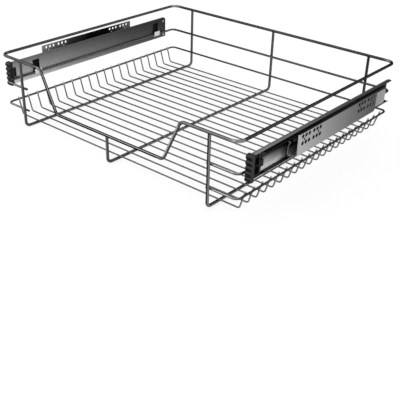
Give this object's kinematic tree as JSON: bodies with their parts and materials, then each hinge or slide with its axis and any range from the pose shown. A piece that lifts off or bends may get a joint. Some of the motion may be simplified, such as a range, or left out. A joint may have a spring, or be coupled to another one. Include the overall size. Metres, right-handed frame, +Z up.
{
  "type": "pull out cabinet basket",
  "caption": "Wire basket with a dipped front rim on ball-bearing telescopic slides, whose hole plates screw to the inner sides of a kitchen cabinet.",
  "frame": {"origin": "middle of the foot of the object's box, on the surface that the basket's frame wires stand on", "axes": "+X to the basket's right across the cabinet's width, +Y to the rear of the cabinet, +Z up; the basket pulls out along -Y"},
  "size_m": [0.564, 0.445, 0.1225],
  "materials": {
    "wire_chrome": "dark bright chrome plating",
    "rail_steel": "bright zinc plated cold-rolled steel",
    "bracket_steel": "zinc plated steel sheet",
    "cage_steel": "plain pressed steel",
    "ball_steel": "polished bearing steel",
    "rivet_steel": "zinc plated rivet",
    "cap_plastic": "black moulded plastic"
  },
  "bodies": {
    "cabinet_side": {"left_mounting_bracket": "bracket_steel", "left_cabinet_member": "rail_steel", "left_bracket_rivets": "rivet_steel", "right_mounting_bracket": "bracket_steel", "right_cabinet_member": "rail_steel", "right_bracket_rivets": "rivet_steel"},
    "basket": {"rim_wire": "wire_chrome", "middle_ring_wire": "wire_chrome", "lower_ring_wire": "wire_chrome", "left_frame_wire": "wire_chrome", "centre_frame_wire": "wire_chrome", "right_frame_wire": "wire_chrome", "floor_wire_01": "wire_chrome", "floor_wire_02": "wire_chrome", "floor_wire_03": "wire_chrome", "floor_wire_04": "wire_chrome", "floor_wire_05": "wire_chrome", "floor_wire_06": "wire_chrome", "floor_wire_07": "wire_chrome", "floor_wire_08": "wire_chrome", "floor_wire_09": "wire_chrome", "floor_wire_10": "wire_chrome", "floor_wire_11": "wire_chrome", "floor_wire_12": "wire_chrome", "floor_wire_13": "wire_chrome", "floor_wire_14": "wire_chrome", "floor_wire_15": "wire_chrome", "floor_wire_16": "wire_chrome", "floor_wire_17": "wire_chrome", "floor_wire_18": "wire_chrome", "floor_wire_19": "wire_chrome", "floor_wire_20": "wire_chrome", "left_drawer_member": "rail_steel", "left_end_cap": "cap_plastic", "right_drawer_member": "rail_steel", "right_end_cap": "cap_plastic"},
    "left_middle": {"left_middle_member": "rail_steel"},
    "left_outer_cage": {"left_outer_ball_cage": "cage_steel", "left_outer_balls": "ball_steel"},
    "left_inner_cage": {"left_inner_ball_cage": "cage_steel", "left_inner_balls": "ball_steel"},
    "right_middle": {"right_middle_member": "rail_steel"},
    "right_outer_cage": {"right_outer_ball_cage": "cage_steel", "right_outer_balls": "ball_steel"},
    "right_inner_cage": {"right_inner_ball_cage": "cage_steel", "right_inner_balls": "ball_steel"}
  },
  "joints": [
    {"name": "basket_slide", "type": "slide", "parent": "cabinet_side", "child": "basket", "axis": [0, -1, 0], "range_m": [0, 0.37]},
    {"name": "left_middle_slide", "type": "slide", "parent": "cabinet_side", "child": "left_middle", "axis": [0, -1, 0], "range_m": [0, 0.185]},
    {"name": "left_outer_cage_slide", "type": "slide", "parent": "cabinet_side", "child": "left_outer_cage", "axis": [0, -1, 0], "range_m": [0, 0.2775]},
    {"name": "left_inner_cage_slide", "type": "slide", "parent": "cabinet_side", "child": "left_inner_cage", "axis": [0, -1, 0], "range_m": [0, 0.0925]},
    {"name": "right_middle_slide", "type": "slide", "parent": "cabinet_side", "child": "right_middle", "axis": [0, -1, 0], "range_m": [0, 0.185]},
    {"name": "right_outer_cage_slide", "type": "slide", "parent": "cabinet_side", "child": "right_outer_cage", "axis": [0, -1, 0], "range_m": [0, 0.2775]},
    {"name": "right_inner_cage_slide", "type": "slide", "parent": "cabinet_side", "child": "right_inner_cage", "axis": [0, -1, 0], "range_m": [0, 0.0925]}
  ],
  "couplings": [
    {"joint": "left_middle_slide", "follows": "basket_slide", "ratio": 0.5},
    {"joint": "left_outer_cage_slide", "follows": "basket_slide", "ratio": 0.75},
    {"joint": "left_inner_cage_slide", "follows": "basket_slide", "ratio": 0.25},
    {"joint": "right_middle_slide", "follows": "basket_slide", "ratio": 0.5},
    {"joint": "right_outer_cage_slide", "follows": "basket_slide", "ratio": 0.75},
    {"joint": "right_inner_cage_slide", "follows": "basket_slide", "ratio": 0.25}
  ]
}
